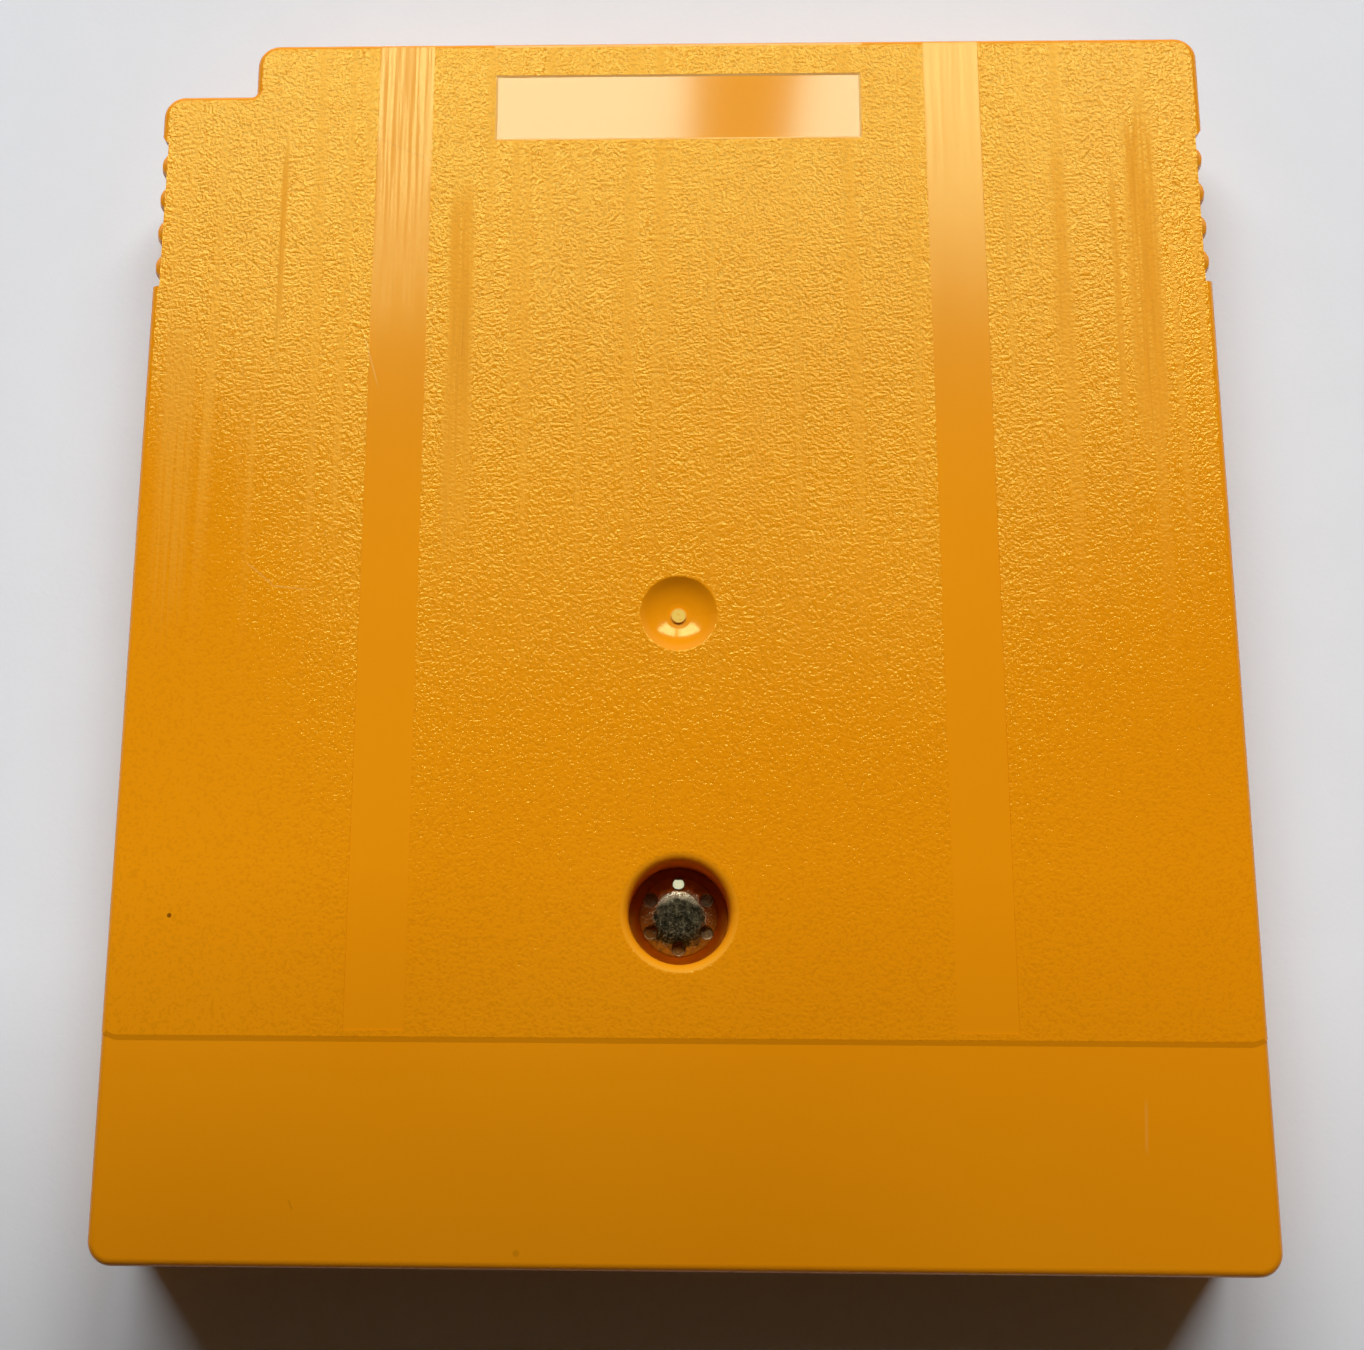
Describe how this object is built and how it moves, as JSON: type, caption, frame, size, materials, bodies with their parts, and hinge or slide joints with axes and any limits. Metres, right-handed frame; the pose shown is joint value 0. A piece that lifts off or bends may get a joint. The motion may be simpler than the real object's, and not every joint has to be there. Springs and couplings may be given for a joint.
{
  "type": "game cartridge",
  "caption": "Moulded handheld-console game cartridge with a grained rear shell, finger grips, lock notch, fluted security screw and an edge-contact board inside",
  "frame": {"origin": "middle of the front face, on the surface that the cartridge lies on", "axes": "+X across the width, +Y from the contact mouth to the grip end, +Z from the front face to the rear face"},
  "size_m": [0.057, 0.065, 0.0078],
  "materials": {
    "case_plastic": "fine moulded grain, worn smooth in streaks",
    "screw_steel": "dull plated steel, dirty in the flutes",
    "board_laminate": "green solder resist",
    "contact_plating": "thin gold-coloured plating",
    "chip_resin": "matt black moulding resin",
    "lead_tin": "dull tinned metal",
    "cell_steel": "bright nickel-plated steel",
    "capacitor_ceramic": "unglazed tan ceramic"
  },
  "bodies": {
    "root": {"rear_shell": "case_plastic", "front_shell": "case_plastic", "security_screw": "screw_steel", "circuit_board": "board_laminate", "contact_fingers": "contact_plating", "rom_chip": "chip_resin", "rom_chip_leads": "lead_tin", "mapper_chip": "chip_resin", "mapper_chip_leads": "lead_tin", "ram_chip": "chip_resin", "ram_chip_leads": "lead_tin", "supervisor_chip": "chip_resin", "supervisor_chip_leads": "lead_tin", "coin_cell": "cell_steel", "cell_lower_tab": "cell_steel", "cell_upper_tab": "cell_steel", "capacitors": "capacitor_ceramic", "capacitor_caps": "lead_tin", "resistors": "chip_resin", "resistor_caps": "lead_tin"}
  },
  "joints": []
}
